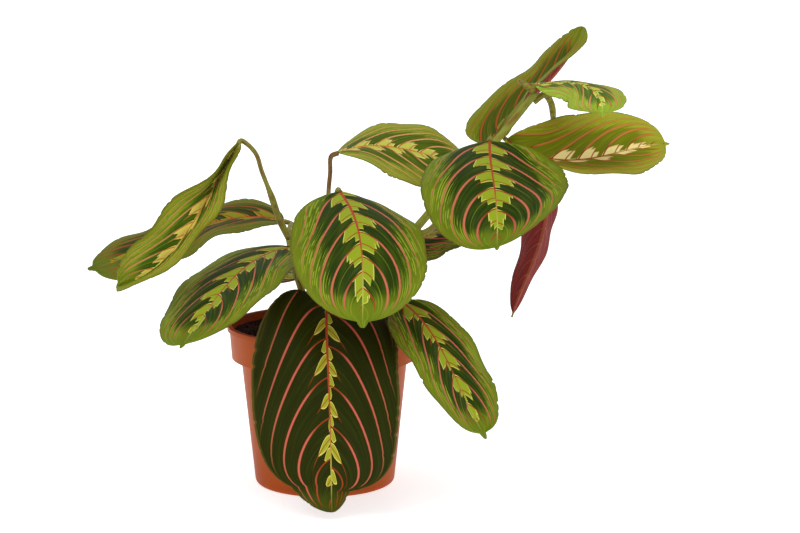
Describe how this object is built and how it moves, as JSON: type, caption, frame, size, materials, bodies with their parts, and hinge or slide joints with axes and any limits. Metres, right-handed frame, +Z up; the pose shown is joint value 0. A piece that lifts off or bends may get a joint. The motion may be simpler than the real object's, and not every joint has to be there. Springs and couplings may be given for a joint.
{
  "type": "potted prayer plant",
  "caption": "Prayer plant with broad patterned leaves on long leaf stalks, growing from potting mix in a round plastic nursery pot.",
  "frame": {"origin": "middle of the pot's base, on the surface that it stands on", "axes": "+Z up, -Y towards the plant's front, +X towards the side that the long shoot leans to"},
  "size_m": [0.367, 0.1993, 0.2802],
  "materials": {
    "pot_plastic": "terracotta-coloured plastic with a slight sheen",
    "potting_mix": "damp, dark peat and bark crumbs",
    "stem_skin": "smooth olive-green skin, satin",
    "petiole_skin": "olive-brown skin with a fine nap, satin",
    "leaf_blade": "satin leaf with red veins, a lime midrib pattern and a wine-red underside",
    "young_blade": "thin satin leaf, lime green with pink veins"
  },
  "bodies": {
    "root": {"pot": "pot_plastic", "soil": "potting_mix", "stem_left": "stem_skin", "stem_middle": "stem_skin", "stem_right": "stem_skin", "petiole_left_high": "petiole_skin", "petiole_left_far": "petiole_skin", "petiole_left_low": "petiole_skin", "petiole_left_back": "petiole_skin", "petiole_centre": "petiole_skin", "petiole_front_hanging": "petiole_skin", "petiole_right_low": "petiole_skin", "petiole_top_middle": "petiole_skin", "petiole_right_round": "petiole_skin", "petiole_right_long": "petiole_skin", "petiole_top_upright": "petiole_skin", "petiole_top_young": "petiole_skin", "petiole_right_hanging": "petiole_skin", "petiole_middle_back": "petiole_skin", "blade_left_high": "leaf_blade", "blade_left_far": "leaf_blade", "blade_left_low": "leaf_blade", "blade_left_back": "leaf_blade", "blade_centre": "leaf_blade", "blade_front_hanging": "leaf_blade", "blade_right_low": "leaf_blade", "blade_top_middle": "leaf_blade", "blade_right_round": "leaf_blade", "blade_right_long": "leaf_blade", "blade_top_upright": "leaf_blade", "blade_top_young": "young_blade", "blade_right_hanging": "leaf_blade", "blade_middle_back": "leaf_blade"}
  },
  "joints": []
}
